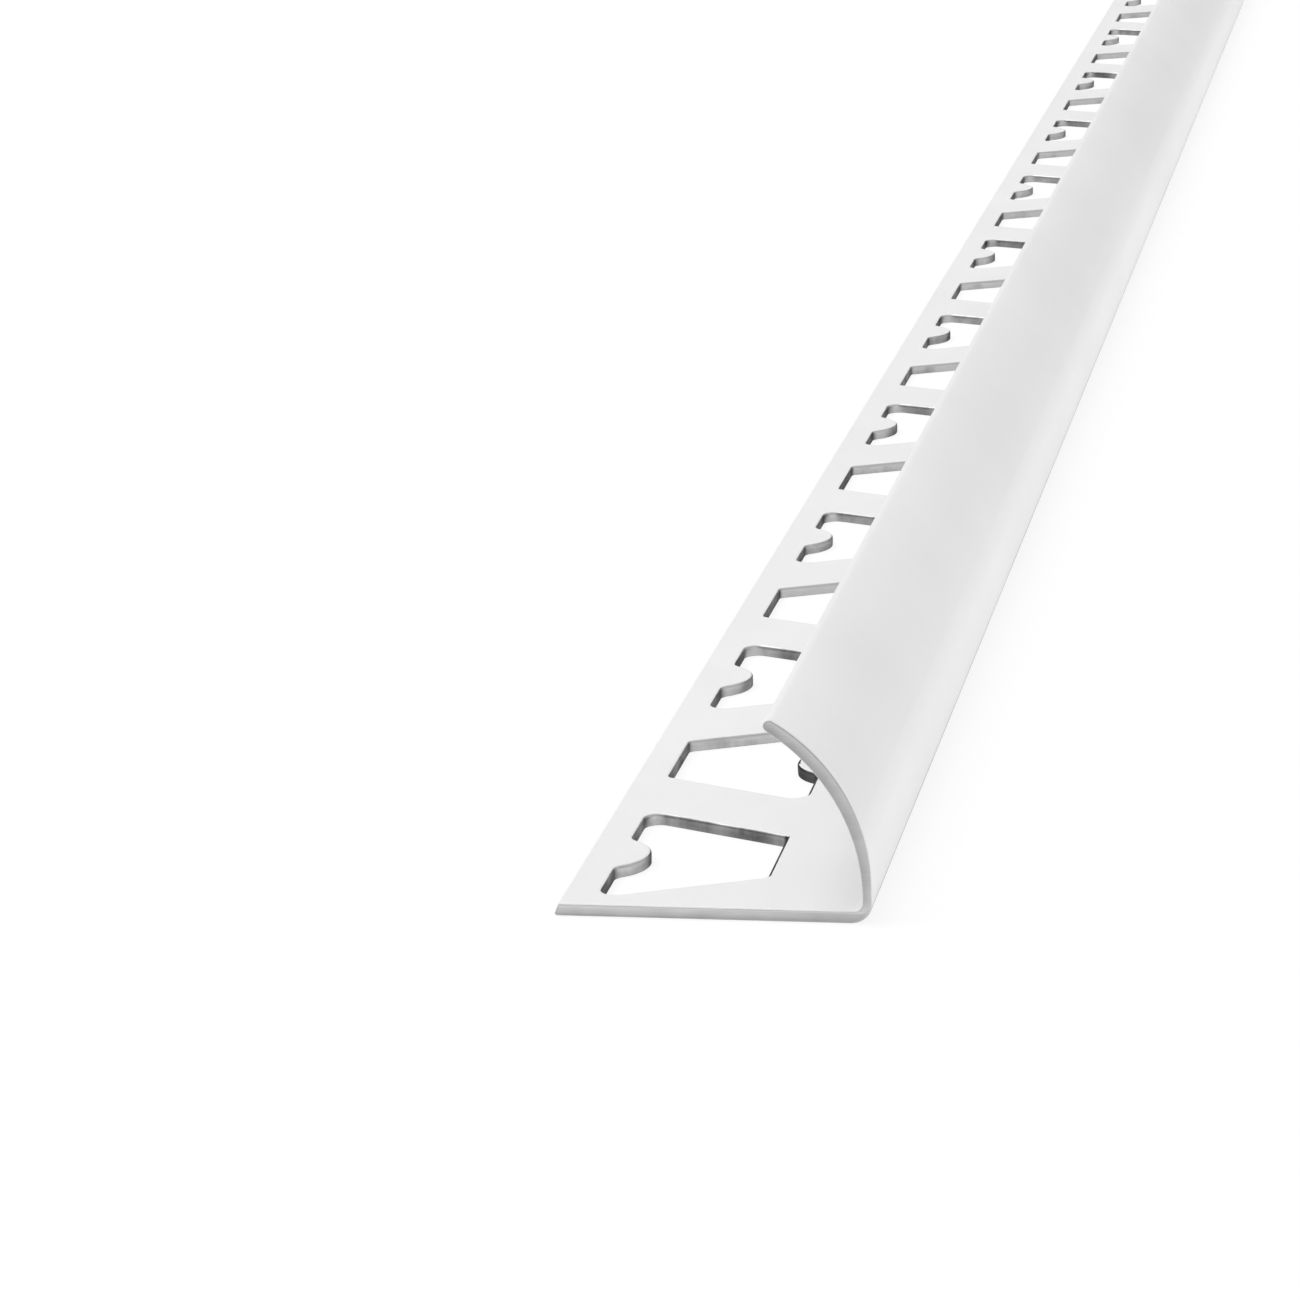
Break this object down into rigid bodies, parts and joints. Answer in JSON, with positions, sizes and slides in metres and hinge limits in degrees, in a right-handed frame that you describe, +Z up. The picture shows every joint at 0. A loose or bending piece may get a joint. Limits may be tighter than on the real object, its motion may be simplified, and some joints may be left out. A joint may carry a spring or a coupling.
{
  "type": "rounded tile edge trim",
  "caption": "Straight aluminium tile trim: a flat punched leg beds in adhesive under the tile and a white curved lip covers and rounds off the tile's edge.",
  "frame": {"origin": "middle of the bounding box, at the underside of the leg", "axes": "+X along the trim, away from the end seen nearest, +Y across from the lip to the free edge of the leg, +Z up from the underside of the leg to the lip"},
  "size_m": [1, 0.0192, 0.0125],
  "materials": {
    "white_coated_aluminium": "satin"
  },
  "bodies": {
    "root": {"tile_trim": "white_coated_aluminium"}
  },
  "joints": []
}
